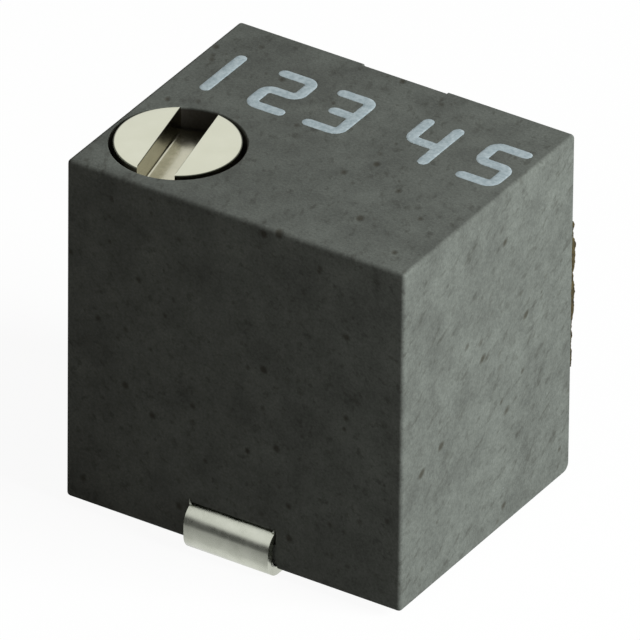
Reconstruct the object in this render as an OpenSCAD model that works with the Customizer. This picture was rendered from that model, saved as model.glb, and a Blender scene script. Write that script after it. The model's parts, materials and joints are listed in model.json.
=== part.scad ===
// Sealed multi-turn trimmer potentiometer for surface mounting, adjusted from the top.
// Origin: the middle of the housing's plan, at the plane of the solder feet.
// Terminal 2 leaves the front (-Y), terminals 1 and 3 the rear (+Y). The screw is vertical.

/* [Housing] */
// Width of the housing, along X
body_w = 6.35; // [6.2:0.01:7.2]
// Depth of the housing, along Y
body_d = 5.11; // [4.95:0.01:6]
// Height of the housing without the terminals
body_h = 6.33; // [6.3:0.01:7]
// Gap between the board and the housing's bottom
standoff = 0.15; // [0.1:0.01:0.4]
// Radius of the housing's upright edges
edge_r = 0.09; // [0.04:0.01:0.2]
// Radius of the housing's top and bottom edges
rim_r = 0.06; // [0.03:0.01:0.15]
// Thickness of the front wall, from its face to the gear chamber
front_wall = 0.5; // [0.4:0.01:0.6]
// Thickness of the side and top walls round the rear opening
side_wall = 0.4; // [0.3:0.01:0.5]
// Thickness of the bottom wall
bottom_wall = 0.45; // [0.35:0.01:0.48]
// Depth at which the ledge behind the gear chamber carries the substrate, from the front face
ledge_y = 3.35; // [3.3:0.01:3.5]
// Width of the shallow notches in the rear rim
notch_w = 1.61; // [1:0.01:2]
// Depth of the shallow notches in the rear rim
notch_d = 0.09; // [0.05:0.01:0.1]

/* [Adjustment screw] */
// Distance of the screw's axis from the left side of the housing
screw_from_left = 1.2; // [1.18:0.01:1.3]
// Distance of the screw's axis from the front of the housing
screw_from_front = 1.4; // [1.36:0.01:1.5]
// Radius of the screw's head
head_r = 1.04; // [0.95:0.01:1.06]
// Length of the screw's head
head_l = 0.815; // [0.75:0.005:0.9]
// Height by which the head stands out of the housing
head_proud = 0.055; // [0:0.005:0.2]
// Rounding of the head's rim
head_round = 0.05; // [0.02:0.005:0.1]
// Gap between the head and its bore
head_gap = 0.07; // [0.05:0.005:0.1]
// Chamfer at the mouth of the bore
mouth_chamfer = 0.03; // [0.01:0.005:0.05]
// Width of the driver slot
slot_w = 0.64; // [0.5:0.01:0.8]
// Depth of the driver slot
slot_depth = 0.445; // [0.3:0.005:0.5]
// Angle of the driver slot from the Y axis, seen from above
slot_turn = 12; // [-90:1:90]
// Radius of the seal groove's floor
groove_r = 0.62; // [0.55:0.01:0.66]
// Length of the seal groove
groove_l = 0.52; // [0.48:0.01:0.56]
// Radius of the neck that turns in the housing
neck_r = 0.8; // [0.78:0.01:0.82]
// Radius of the clip groove's floor
clip_groove_r = 0.5; // [0.42:0.01:0.55]
// Length of the collar below the clip groove
collar_l = 0.18; // [0.14:0.01:0.2]
// Radius of the journal below the worm
tail_r = 0.34; // [0.28:0.01:0.36]
// Length of the journal below the worm
tail_l = 0.6; // [0.5:0.01:0.62]

/* [Worm and gear] */
// Number of teeth on the gear
gear_teeth = 16; // [15:1:17]
// Module of the gear
gear_module = 0.2; // [0.19:0.005:0.2]
// Pitch radius of the worm
worm_pitch_r = 0.58; // [0.56:0.01:0.6]
// Length of the worm's thread
worm_l = 2; // [1.6:0.05:2.1]
// Width of the gear's toothed rim, along its axis
gear_w = 1.2; // [1:0.01:1.3]
// Side play between the worm's flanks and the gear's, measured along the pitch
flank_play = 0.05; // [0.04:0.005:0.08]
// Radius of the gear's front hub
hub_r = 1; // [0.8:0.01:1.2]
// Radius of the rotor's rear drum
drum_r = 1.35; // [1.3:0.01:1.4]
// Length of the rotor's rear drum
drum_l = 0.8; // [0.7:0.01:0.85]
// Radius of the housing's pivot boss
pivot_r = 0.45; // [0.4:0.01:0.55]
// Length of the pivot boss
pivot_l = 1.6; // [1.2:0.01:1.7]

/* [Contact and element] */
// Thickness of the wiper's spring sheet
wiper_t = 0.08; // [0.06:0.01:0.1]
// Width of one contact finger
finger_w = 0.13; // [0.1:0.01:0.14]
// Spacing of the contact fingers
finger_pitch = 0.17; // [0.16:0.01:0.2]
// Fingers on the track, and on the collector
finger_count = 4; // [2:1:4]
// Thickness of the ceramic substrate
substrate_t = 0.65; // [0.5:0.01:0.7]
// Thickness of the fired prints
print_t = 0.04; // [0.02:0.01:0.05]
// Radius of the middle of the resistive track
track_r = 1.6; // [1.55:0.01:1.62]
// Width of the resistive track
track_w = 0.45; // [0.35:0.01:0.48]
// Radius of the collector disc
collector_r = 0.72; // [0.6:0.01:0.78]
// Travel of the wiper, in degrees
travel = 270; // [240:5:280]

/* [Terminals] */
// Thickness of the terminal sheet
lead_t = 0.15; // [0.12:0.01:0.16]
// Width of a terminal outside the housing
lead_w = 1.6; // [1.4:0.01:1.64]
// Height of a terminal's upper face where it leaves the housing, above the housing's bottom
lead_top = 0.7; // [0.68:0.01:0.75]
// Gap between the terminals and the outside of the housing
lead_gap = 0.05; // [0.03:0.01:0.1]
// Inner radius of the two bends outside the housing
bend_r = 0.18; // [0.1:0.01:0.19]
// Inner radius of the bend at the foot of a prong
prong_bend_r = 0.05; // [0.03:0.01:0.08]
// Length of a foot under the housing, from the terminal's outer face
foot_l = 1.3; // [1:0.01:1.6]
// Distance of the rear terminals from the middle
rear_lead_x = 1.27; // [1.2:0.01:1.5]
// Width of a terminal's prongs
prong_w = 0.4; // [0.3:0.01:0.42]
// Height of a terminal's prongs above the substrate's bottom edge
prong_h = 0.6; // [0.4:0.01:0.65]
// Gap between the solder joints of neighbouring terminals
solder_gap = 0.07; // [0.04:0.01:0.15]

/* [Seal] */
// Height of the substrate's bottom edge above the floor of the rear opening
substrate_lift = 0.42; // [0.4:0.01:0.45]
// Clearance of the substrate in the rear opening
substrate_play = 0.05; // [0.03:0.01:0.08]
// Depth of the resin's surface below the rear rim
resin_recess = 0.09; // [0.05:0.01:0.15]
// Thickness of the screw clip
clip_t = 0.22; // [0.16:0.01:0.24]
// Half the width of the screw clip
clip_half_w = 0.93; // [0.85:0.01:0.95]

/* [Hidden] */

$fn = 96;
eps = 0.01;
play = 0.04;      // running clearance of a journal
seat = 0.02;      // clearance of a flat part in its slot
touch = 0.01;     // clearance of the contact fingers from the prints

// Housing planes
x_left = -body_w / 2;
y_front = -body_d / 2;
y_rear = body_d / 2;
z_bottom = standoff;
z_top = standoff + body_h;
y_chamber = y_front + front_wall;
y_ledge = y_front + ledge_y;
open_half_w = body_w / 2 - side_wall;
open_z0 = z_bottom + bottom_wall;
open_z1 = z_top - side_wall;
y_resin = y_rear - resin_recess;

// Screw planes, from the top down
screw_x = x_left + screw_from_left;
screw_y = y_front + screw_from_front;
bore_r = head_r + head_gap;
neck_bore_r = neck_r + play;
z_head = z_top + head_proud;
z_head_under = z_head - head_l;
z_groove_end = z_head_under - groove_l;
z_bore_floor = z_groove_end - play;
neck_above_clip = 0.21;
z_clip_groove_top = z_groove_end - neck_above_clip;
clip_groove_l = clip_t + 2 * seat;
z_clip_groove_end = z_clip_groove_top - clip_groove_l;
z_collar_end = z_clip_groove_end - collar_l;
clip_z = z_clip_groove_end + seat;

// Gear train: one thread on the worm, its pitch equal to the gear's circular pitch
pitch = PI * gear_module;
gear_pitch_r = gear_module * gear_teeth / 2;
addendum = 0.9 * gear_module;
dedendum = 1.15 * gear_module;
gear_outer_r = gear_pitch_r + addendum;
gear_root_r = gear_pitch_r - dedendum;
worm_outer_r = worm_pitch_r + addendum;
worm_root_r = worm_pitch_r - dedendum;
lead_angle = atan(pitch / (2 * PI * worm_pitch_r));
pressure_angle = 20;
gear_x = screw_x + worm_pitch_r + gear_pitch_r;
chamber_gap = 0.17;
chamber_r = gear_outer_r + chamber_gap;
worm_relief = 0.25;
gear_z = z_collar_end - worm_relief - worm_l / 2;
z_worm_top = gear_z + worm_l / 2;
z_worm_end = gear_z - worm_l / 2;
z_tail_end = z_worm_end - tail_l;
gear_y0 = screw_y - gear_w / 2;
gear_y1 = screw_y + gear_w / 2;
hub_y0 = y_chamber + play;
drum_y1 = gear_y1 + drum_l;
rotor_bore_r = pivot_r + play;
stake_x = 0.95;
stake_r = 0.14;
stake_head = 0.06;
pivot_y1 = y_chamber + pivot_l;

// Element
substrate_half_w = open_half_w - substrate_play;
substrate_z0 = open_z0 + substrate_lift;
substrate_z1 = open_z1 - substrate_play;
print_y = y_ledge - print_t;
track_stop = travel / 2 + 5;
pad_w = 0.62;
pad_step = 0.25;
fingers_y = print_y - touch;

// Terminals: levels of the strip where it passes through the housing's wall
lead_z1 = z_bottom + lead_top;
lead_z0 = lead_z1 - lead_t;
lead_out = lead_gap + lead_t;
foot_recess = 0.1;
y_prong_front = print_y - lead_t;
y_prong_rear = y_ledge + substrate_t;
prong_pitch = lead_w - prong_w;
solder_r = (rear_lead_x - prong_pitch / 2 - solder_gap) / 2;

// A rectangle with round corners, centred
module round_rect(w, h, r) {
    union() {
        square([w - 2 * r, h], center = true);
        square([w, h - 2 * r], center = true);
        for (sx = [-1, 1], sy = [-1, 1])
            translate([sx * (w / 2 - r), sy * (h / 2 - r)]) circle(r);
    }
}

// A cylinder along +Y from y0 to y1 at the rotor's axis
module rotor_cylinder(r, y0, y1) {
    translate([gear_x, y0, gear_z]) rotate([-90, 0, 0]) cylinder(r = r, h = y1 - y0);
}

// A cylinder along +Z from z0 to z1 at the screw's axis
module screw_cylinder(r, z0, z1) {
    translate([screw_x, screw_y, z0]) cylinder(r = r, h = z1 - z0);
}

// The moulded block, its twelve edges rounded
module housing_block() {
    intersection() {
        translate([0, 0, z_bottom]) linear_extrude(body_h) round_rect(body_w, body_d, edge_r);
        translate([0, y_rear, z_bottom + body_h / 2]) rotate([90, 0, 0])
            linear_extrude(body_d) round_rect(body_w, body_h, rim_r);
        translate([x_left, 0, z_bottom + body_h / 2]) rotate([90, 0, 90])
            linear_extrude(body_w) round_rect(body_d, body_h, rim_r);
    }
}

// Where the screw, from its head to its tail journal, goes in from the top
module screw_bore() {
    screw_cylinder(bore_r, z_bore_floor, z_top + 1);
    screw_cylinder(neck_bore_r, z_worm_end - play, z_bore_floor + eps);
    screw_cylinder(tail_r + play, z_tail_end - play, z_worm_end);
    translate([screw_x, screw_y, z_top - mouth_chamfer])
        cylinder(r1 = bore_r, r2 = bore_r + 2 * mouth_chamfer, h = 2 * mouth_chamfer);
}

// The slot that the clip slides into from the ledge
module clip_slot() {
    y0 = screw_y - clip_half_w;
    translate([screw_x - clip_half_w - seat, y0 - seat, clip_z - seat])
        cube([2 * (clip_half_w + seat), y_ledge - y0 + eps, clip_groove_l]);
}

// Room in the ledge for the prongs, their solder and the pads, up to the gear chamber
module prong_pocket(x) {
    depth = lead_t + print_t + solder_r;
    half_w = lead_w / 2 + lead_gap;
    top = max(gear_z - 0.7 * chamber_r, substrate_z0 + prong_h + solder_r);
    translate([x - half_w, y_ledge - depth, open_z0])
        cube([2 * half_w, depth + eps, top - open_z0]);
}

// The shallow recess that a foot lies under
module foot_pocket(x, y0) {
    translate([x - lead_w / 2 - lead_gap, y0, z_bottom - eps])
        cube([lead_w + 2 * lead_gap, foot_l + lead_gap, foot_recess + eps]);
}

// The slot that terminal 2 leaves by, its mouth deeper where the strip starts to bend down
module lead_slot() {
    mouth = bend_r;
    translate([-lead_w / 2 - seat, y_front - eps, lead_z0 - seat])
        cube([lead_w + 2 * seat, ledge_y + 2 * eps, lead_t + 2 * seat]);
    translate([-lead_w / 2 - seat, y_front - eps, lead_z0 - mouth / 2])
        cube([lead_w + 2 * seat, mouth, lead_t]);
}

module housing() {
    color([0.13, 0.13, 0.12]) {
        difference() {
            housing_block();
            rotor_cylinder(chamber_r, y_chamber, y_ledge + eps);
            screw_bore();
            clip_slot();
            translate([-open_half_w, y_ledge, open_z0])
                cube([2 * open_half_w, body_d, open_z1 - open_z0]);
            for (x = [-rear_lead_x, 0, rear_lead_x]) prong_pocket(x);
            lead_slot();
            foot_pocket(0, y_front - lead_gap);
            for (x = [-rear_lead_x, rear_lead_x]) foot_pocket(x, y_rear - foot_l);
            translate([-notch_w / 2, y_rear - notch_d, z_top - side_wall - eps])
                cube([notch_w, 1, side_wall + 1]);
        }
        rotor_cylinder(pivot_r, y_chamber - eps, pivot_y1);
    }
}

// The turned screw without its worm, as one profile from the tail up
module screw_turning() {
    c = 0.04;
    rotate_extrude() polygon([
        [0, z_tail_end], [tail_r - c, z_tail_end], [tail_r, z_tail_end + c], [tail_r, z_worm_end],
        [worm_root_r + eps, z_worm_end], [worm_root_r + eps, z_worm_top], [0.5, z_collar_end - 0.12],
        [0.5, z_collar_end], [neck_r, z_collar_end], [neck_r, z_clip_groove_end],
        [clip_groove_r, z_clip_groove_end], [clip_groove_r, z_clip_groove_top],
        [neck_r, z_clip_groove_top], [neck_r, z_groove_end], [groove_r, z_groove_end],
        [groove_r, z_head_under], [head_r - c, z_head_under], [head_r, z_head_under + c],
        [head_r, z_head - head_round], [head_r - 0.3 * head_round, z_head - 0.3 * head_round],
        [head_r - head_round, z_head], [0, z_head]
    ]);
}

// Radius of the worm's one thread at an axial distance s from the crest's middle
function worm_radius(s) =
    let (half = pitch / 4 - flank_play / 2,
         flank = (half - abs(s)) / tan(pressure_angle))
    min(worm_outer_r, max(worm_root_r, worm_pitch_r + flank));

// The worm's cross-section, which turns once for each pitch of height
module worm_section() {
    steps = 36;
    polygon([for (i = [0 : steps - 1])
        let (a = 360 * i / steps, s = (i / steps - 0.5) * pitch)
        worm_radius(s) * [cos(a), sin(a)]]);
}

// A right-hand thread; a crest faces the gear halfway between two of its teeth
module worm_thread() {
    turns = worm_l / pitch;
    translate([0, 0, z_worm_end]) rotate([0, 0, 180 - 180 * turns])
        linear_extrude(height = worm_l, twist = -360 * turns, slices = ceil(turns * 20), $fn = 12) worm_section();
}

module adjustment_screw() {
    color([0.82, 0.81, 0.76])
        translate([screw_x, screw_y, 0]) difference() {
            union() {
                screw_turning();
                worm_thread();
            }
            translate([0, 0, z_head]) rotate([0, 0, slot_turn])
                cube([slot_w, 3 * head_r, 2 * slot_depth], center = true);
        }
}

module o_ring() {
    section_r = (bore_r - touch - groove_r) / 2;
    color([0.1, 0.1, 0.1])
        translate([screw_x, screw_y, (z_head_under + z_groove_end) / 2])
            rotate_extrude() translate([groove_r + section_r, 0]) circle(section_r, $fn = 48);
}

// A flat U: its legs straddle the clip groove and its back faces the ledge
module screw_clip() {
    leg_gap = clip_groove_r + seat;
    back = 0.35;
    color([0.7, 0.66, 0.58])
        translate([screw_x, screw_y, clip_z]) linear_extrude(clip_t) difference() {
            translate([-clip_half_w, -clip_half_w])
                square([2 * clip_half_w, clip_half_w + neck_r + back]);
            circle(leg_gap);
            translate([-leg_gap, -neck_r - 1]) square([2 * leg_gap, neck_r + 1]);
        }
}

// Half the angle that a gear tooth fills at radius r
function tooth_half_angle(r) =
    let (half = pitch / 4 - flank_play / 2,
         flank = half + (gear_pitch_r - r) * tan(pressure_angle))
    max(0.03, flank) / r * 180 / PI;

// The gear's outline, a tooth space at the worm's side
module gear_section() {
    radii = [gear_root_r, gear_pitch_r, gear_outer_r];
    polygon([for (i = [0 : gear_teeth - 1], side = [-1, 1], k = [0 : 2])
        let (r = radii[side < 0 ? k : 2 - k],
             a = 180 + 360 * (i + 0.5) / gear_teeth + side * tooth_half_angle(r))
        r * [cos(a), sin(a)]]);
}

// Teeth slanted to follow the worm's lead
module gear_teeth_rim() {
    slant = gear_w * tan(lead_angle) / gear_pitch_r * 180 / PI;
    translate([gear_x, screw_y, gear_z]) rotate([90, 0, 0])
        translate([0, 0, -gear_w / 2]) rotate([0, 0, -slant / 2])
            linear_extrude(height = gear_w, twist = -slant, slices = 6, $fn = 12) gear_section();
}

module worm_gear() {
    stake_l = wiper_t + stake_head;
    color([0.86, 0.84, 0.76])
        difference() {
            union() {
                gear_teeth_rim();
                rotor_cylinder(hub_r, hub_y0, gear_y0 + eps);
                rotor_cylinder(drum_r, gear_y1 - eps, drum_y1);
                for (side = [-1, 1]) translate([side * stake_x, 0, 0])
                    rotor_cylinder(stake_r, drum_y1 - eps, drum_y1 + stake_l);
            }
            rotor_cylinder(rotor_bore_r, hub_y0 - 1, pivot_y1 + play);
        }
}

// One finger's side view in (depth, radius): a slope from the sheet to a round contact knuckle
module finger(r0, r1) {
    knuckle_r = 0.07;
    slope_t = 0.65 * wiper_t;
    tip = fingers_y - drum_y1 - knuckle_r;
    union() {
        polygon([[0, r0], [wiper_t, r0], [tip + slope_t, r1], [tip - slope_t, r1]]);
        translate([tip, r1]) circle(knuckle_r, $fn = 32);
    }
}

// A comb of fingers, straight up from the rotor's axis, from radius r0 to its contacts at r1
module finger_comb(r0, r1) {
    for (i = [0 : finger_count - 1])
        translate([(i - (finger_count - 1) / 2) * finger_pitch - finger_w / 2, drum_y1, 0])
            rotate([90, 0, 90]) linear_extrude(finger_w) finger(r0, r1);
}

module wiper() {
    sheet_r = drum_r - 0.08;
    window_r = 0.62;
    color([0.85, 0.72, 0.42]) translate([gear_x, 0, gear_z]) {
        difference() {
            translate([0, drum_y1, 0]) rotate([-90, 0, 0]) cylinder(r = sheet_r, h = wiper_t);
            translate([0, drum_y1 - 1, 0]) rotate([-90, 0, 0]) cylinder(r = window_r, h = 2);
            for (side = [-1, 1]) translate([side * stake_x, drum_y1 - 1, 0])
                rotate([-90, 0, 0]) cylinder(r = stake_r, h = 2);
        }
        finger_comb(sheet_r - 0.1, track_r);
        mirror([0, 0, 1]) finger_comb(window_r + 0.1, 0.3);
    }
}

// The plate behind the rotor
module substrate() {
    color([0.93, 0.92, 0.88]) difference() {
        translate([-substrate_half_w, y_ledge, substrate_z0])
            cube([2 * substrate_half_w, substrate_t, substrate_z1 - substrate_z0]);
        for (sx = [-1, 1], z = [substrate_z0, substrate_z1])
            translate([sx * substrate_half_w, y_ledge - 1, z]) rotate([-90, 45, 0])
                translate([-0.1, -0.1, 0]) cube([0.2, 0.2, 3]);
    }
}

// A print on the substrate's front face, drawn in X and Z
module fired_print() {
    translate([0, y_ledge, 0]) rotate([90, 0, 0]) linear_extrude(print_t) children();
}

// A sector of a half-angle about straight up
module sector(half, r) {
    polygon(concat([[0, 0]], [for (a = [-half : 5 : half]) r * [sin(a), cos(a)]]));
}

module track_shape() {
    translate([gear_x, gear_z]) intersection() {
        difference() {
            circle(track_r + track_w / 2);
            circle(track_r - track_w / 2);
        }
        sector(track_stop, 2 * track_r);
    }
}

module resistive_track() {
    color([0.16, 0.15, 0.15]) fired_print() track_shape();
}

module collector_print() {
    trace_w = 0.5;
    color([0.75, 0.75, 0.73]) fired_print() union() {
        translate([gear_x, gear_z]) circle(collector_r);
        translate([gear_x - trace_w / 2, substrate_z0 + prong_h + 0.2])
            square([trace_w, gear_z - substrate_z0 - prong_h - 0.2]);
        translate([-lead_w / 2 + 0.1, substrate_z0]) square([lead_w - 0.2, prong_h + 0.3]);
    }
}

// A pad from an end of the track down to the substrate's bottom edge, on the left or right
module end_pad(side) {
    along = [side * sin(track_stop), cos(track_stop)];
    inner = [gear_x, gear_z] + (track_r - track_w / 2) * along;
    outer = [gear_x, gear_z] + (track_r + track_w / 2) * along;
    x_out = side * (rear_lead_x + pad_w / 2);
    x_in = side * (rear_lead_x - pad_w / 2);
    knee = outer[1] - play;
    color([0.75, 0.75, 0.73]) fired_print() polygon([
        inner, outer, [x_out, knee], [x_out, substrate_z0], [x_in, substrate_z0], [x_in, knee - pad_step]
    ]);
}

module end_pad_1() { end_pad(-1); }

module end_pad_3() { end_pad(1); }

// A quarter bend of the strip in the plane of its side view, from angle a0
module bend(inner_r, a0) {
    r = inner_r + lead_t;
    intersection() {
        difference() {
            circle(r);
            circle(inner_r);
        }
        rotate(a0) square(2 * r);
    }
}

// Side view of the outer J: out of the wall at u = 0, down, and back under; u points outwards
module lead_j() {
    r = bend_r + lead_t;
    u = lead_out - r;
    union() {
        translate([-bend_r - lead_t, lead_z0]) square([r + u + eps, lead_t]);
        translate([u, lead_z1 - r]) bend(bend_r, 0);
        translate([lead_out - lead_t, r]) square([lead_t, lead_z1 - 2 * r]);
        translate([u, r]) bend(bend_r, -90);
        translate([lead_out - foot_l, 0]) square([foot_l - r + eps, lead_t]);
    }
}

// Side view of a prong: in along the strip's level to u1, where its outer face is, then up to z1
module lead_prong(u1, z1) {
    r = prong_bend_r + lead_t;
    union() {
        translate([0, lead_z0]) square([u1 - r, lead_t]);
        translate([u1 - r, lead_z0 + r]) bend(prong_bend_r, -90);
        translate([u1 - lead_t, lead_z0 + r]) square([lead_t, z1 - lead_z0 - r]);
    }
}

// A side view in (depth, height), widened along X about the middle of the terminal
module widen(w) {
    rotate([90, 0, 90]) translate([0, 0, -w / 2]) linear_extrude(w) children();
}

// A terminal in its own frame: the wall's outer face at depth 0, outwards along -Y.
// The two side prongs stop at depth near, the middle prong at depth far.
module terminal(near, far) {
    z1 = substrate_z0 + prong_h;
    side_x = prong_pitch / 2;
    union() {
        widen(lead_w) mirror([1, 0]) lead_j();
        translate([-lead_w / 2, bend_r, lead_z0])
            cube([lead_w, near - lead_t - prong_bend_r - bend_r, lead_t]);
        for (sx = [-1, 1]) translate([sx * side_x, 0, 0]) widen(prong_w) lead_prong(near, z1);
        widen(prong_w) lead_prong(far, z1);
    }
}

// Depths of the prongs' outer faces from the front face and from the rear face
module front_terminal() {
    translate([0, y_front, 0])
        terminal(y_ledge - print_t - y_front, y_prong_rear + lead_t - y_front);
}

module rear_terminal(x) {
    translate([x, y_rear, 0]) mirror([0, 1, 0])
        terminal(y_rear - y_prong_rear, y_rear - print_y + lead_t);
}

module terminal_1() { color([0.8, 0.8, 0.77]) rear_terminal(-rear_lead_x); }

module terminal_2() { color([0.8, 0.8, 0.77]) front_terminal(); }

module terminal_3() { color([0.8, 0.8, 0.77]) rear_terminal(rear_lead_x); }

// A dome of solder on the front pad over a prong's end
module solder_dome(x) {
    intersection() {
        translate([x, print_y + print_t, substrate_z0 + prong_h - solder_r / 3]) sphere(solder_r, $fn = 48);
        translate([x - solder_r, print_y - solder_r, substrate_z0])
            cube([2 * solder_r, solder_r, prong_h + solder_r]);
    }
}

module rear_solder(x) {
    color([0.7, 0.71, 0.7]) difference() {
        solder_dome(x);
        rear_terminal(x);
    }
}

module solder_1() { rear_solder(-rear_lead_x); }

module solder_2() {
    color([0.7, 0.71, 0.7]) difference() {
        for (sx = [-1, 1]) solder_dome(sx * prong_pitch / 2);
        front_terminal();
    }
}

module solder_3() { rear_solder(rear_lead_x); }

// Resin behind the substrate, with the bead that ran over the right rim
module epoxy_seal() {
    y0 = y_ledge + substrate_t;
    color([0.09, 0.085, 0.08]) difference() {
        union() {
            translate([-open_half_w, y0, open_z0])
                cube([2 * open_half_w, y_resin - y0, open_z1 - open_z0]);
            resin_bead();
        }
        front_terminal();
        for (x = [-rear_lead_x, rear_lead_x]) rear_terminal(x);
    }
}

// Heights above the housing's bottom, and radii, of the lumps in the bead
bead_lumps = [[1.95, 0.16], [2.3, 0.2], [2.6, 0.17], [3.1, 0.14], [3.6, 0.15], [4.1, 0.14], [4.5, 0.2]];

module resin_bead() {
    x = body_w / 2 - 0.21;
    difference() {
        union() {
            for (lump = bead_lumps)
                translate([x, y_rear - 0.08, z_bottom + lump[0]]) sphere(lump[1], $fn = 32);
            translate([x - 0.05, y_rear - 0.03, z_bottom + bead_lumps[0][0]])
                cylinder(r = 0.1, h = bead_lumps[6][0] - bead_lumps[0][0]);
            translate([open_half_w - 0.2, y_rear - resin_recess - eps, z_bottom + bead_lumps[0][0]])
                cube([0.35, resin_recess + 0.04, bead_lumps[6][0] - bead_lumps[0][0]]);
        }
        translate([open_half_w, 0, 0]) cube([body_w, y_rear, z_top]);
        cube([body_w, y_resin - eps, z_top]);
    }
}

housing();
adjustment_screw();
o_ring();
screw_clip();
worm_gear();
wiper();
substrate();
resistive_track();
collector_print();
end_pad_1();
end_pad_3();
terminal_1();
terminal_2();
terminal_3();
solder_1();
solder_2();
solder_3();
epoxy_seal();
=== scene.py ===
# %% [markdown]
# # A sealed trimmer potentiometer
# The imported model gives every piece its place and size. This script dresses it for its photograph: it makes
# the visible surfaces finer and gives each piece its finish.

# %% Load the frame
import json
import math

import bmesh
import bpy
from mathutils import Matrix, Vector


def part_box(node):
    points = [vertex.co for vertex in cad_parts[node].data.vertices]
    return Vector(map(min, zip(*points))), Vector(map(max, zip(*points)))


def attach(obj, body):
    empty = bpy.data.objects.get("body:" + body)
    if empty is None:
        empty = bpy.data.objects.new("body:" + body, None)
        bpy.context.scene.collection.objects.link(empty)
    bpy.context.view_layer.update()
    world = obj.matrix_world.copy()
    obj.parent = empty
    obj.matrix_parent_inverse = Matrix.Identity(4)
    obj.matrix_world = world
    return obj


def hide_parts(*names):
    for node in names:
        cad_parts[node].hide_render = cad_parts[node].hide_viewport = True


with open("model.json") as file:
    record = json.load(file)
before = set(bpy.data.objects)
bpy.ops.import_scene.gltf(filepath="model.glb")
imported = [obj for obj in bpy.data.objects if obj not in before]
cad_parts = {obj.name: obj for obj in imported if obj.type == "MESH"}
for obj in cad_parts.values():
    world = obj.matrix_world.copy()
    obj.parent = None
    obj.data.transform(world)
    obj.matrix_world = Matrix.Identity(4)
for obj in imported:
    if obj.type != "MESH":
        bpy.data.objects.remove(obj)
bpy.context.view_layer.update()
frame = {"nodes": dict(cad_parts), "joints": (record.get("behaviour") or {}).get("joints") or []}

# %% [markdown]
# Blender works in metres, and this part is six millimetres tall. Boolean cuts and bevels have thresholds
# that suit sizes near one, so each mesh is drawn in millimetres and shrunk by a thousand when it is
# finished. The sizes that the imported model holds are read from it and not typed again, so that each finer
# piece lies exactly on the one that it stands for.

# %% Read the part's own sizes, in millimetres
MM = 0.001


def corners(node):
    """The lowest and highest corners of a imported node."""
    low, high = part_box(node)
    return Vector(low) / MM, Vector(high) / MM


case_low, case_high = corners("housing")
screw_low, screw_high = corners("adjustment_screw")
joint_at = {j["name"]: Vector(j["pos_m"]) / MM for j in frame["joints"]}
screw_axis = joint_at["screw_turn"]
rotor_axis = joint_at["rotor_turn"]
head_r = (screw_high.x - screw_low.x) / 2
print("case", [round(v, 3) for v in case_high - case_low], "screw head radius", round(head_r, 3))

# %% [markdown]
# ## Camera
# The photograph was taken from the right and above with a very long lens, so its edges are almost parallel.
# An orthographic camera would lose the last trace of perspective, so this one stands 328 mm away with a
# matching focal length. It is rolled by half a degree, as the photograph is.

# %% Camera at the photograph's angle
CAMERA_AT = Vector((147.04, -233.94, 176.09))
AZIMUTH = math.radians(32.15)
ELEVATION = math.radians(32.03)
ROLL = math.radians(0.604)
FOCAL_LENGTH = 1146.7


def in_scene(name, data):
    """A new object in the scene with this data."""
    obj = bpy.data.objects.new(name, data)
    bpy.context.collection.objects.link(obj)
    return obj


forward = Vector((-math.sin(AZIMUTH) * math.cos(ELEVATION), math.cos(AZIMUTH) * math.cos(ELEVATION),
                  -math.sin(ELEVATION)))
level_right = forward.cross(Vector((0, 0, 1))).normalized()
level_up = level_right.cross(forward)
right = level_right * math.cos(ROLL) + level_up * math.sin(ROLL)
up = -level_right * math.sin(ROLL) + level_up * math.cos(ROLL)

camera_data = bpy.data.cameras.new("camera")
camera_data.lens = FOCAL_LENGTH
camera = in_scene("camera", camera_data)
turned = Matrix((right, up, -forward)).transposed().to_4x4()
camera.matrix_world = Matrix.Translation(CAMERA_AT * MM) @ turned
bpy.context.scene.camera = camera
print("camera", round(CAMERA_AT.length, 1), "mm from the part")

# %% [markdown]
# ## Finishes
# Each material is named for the real one and is made of nodes that read Object coordinates, so its grain
# has a real size and stays put on export. Image textures would need unwrapped meshes and would blur in a
# close view. Colours are written as they look on a screen, and one function turns them to the linear values
# that shaders use.

# %% Colour and node helpers
def linear(text):
    """An sRGB hex colour as linear RGBA."""
    parts = [int(text[i:i + 2], 16) / 255 for i in (1, 3, 5)]
    return [c / 12.92 if c <= 0.04045 else ((c + 0.055) / 1.055) ** 2.4 for c in parts] + [1]


def add(tree, kind, inputs=None, **settings):
    """A node with its settings. An input is a value, or a (node, output) pair to link."""
    node = tree.nodes.new(kind)
    for name, value in settings.items():
        setattr(node, name, value)
    for socket, value in (inputs or {}).items():
        if isinstance(value, tuple) and isinstance(value[0], bpy.types.Node):
            tree.links.new(value[0].outputs[value[1]], node.inputs[socket])
        else:
            node.inputs[socket].default_value = value
    return node


def new_tree(name):
    """A material with an empty tree."""
    material = bpy.data.materials.new(name)
    material.use_nodes = True
    material.node_tree.nodes.clear()
    return material, material.node_tree


def per_mm(size):
    """The texture scale that gives features of this size in millimetres."""
    return 1 / (size * MM)


print("the screen's middle grey is", round(linear("#808080")[0], 3), "of white")

# %% [markdown]
# Some steps come back in every finish: noise of a real size, a value spread over a new range, a colour
# between two others, and the shader with its bump. Each function adds one such step and returns it as a
# (node, output) pair, ready to be the input of the next.

# %% Helpers for the steps that repeat
def object_place(tree):
    return add(tree, "ShaderNodeTexCoord"), "Object"


def noise(tree, vector, size_mm, detail, roughness=0.5):
    """Cloudy noise with features of a size in millimetres."""
    return add(tree, "ShaderNodeTexNoise", {"Vector": vector, "Scale": per_mm(size_mm), "Detail": detail,
                                            "Roughness": roughness}), "Fac"


def spread(tree, value, start, end, low=0.0, high=1.0):
    """The range from start to end mapped to low to high, and held there beyond."""
    return add(tree, "ShaderNodeMapRange", {"Value": value, "From Min": start, "From Max": end,
                                            "To Min": low, "To Max": high}), "Result"


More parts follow.
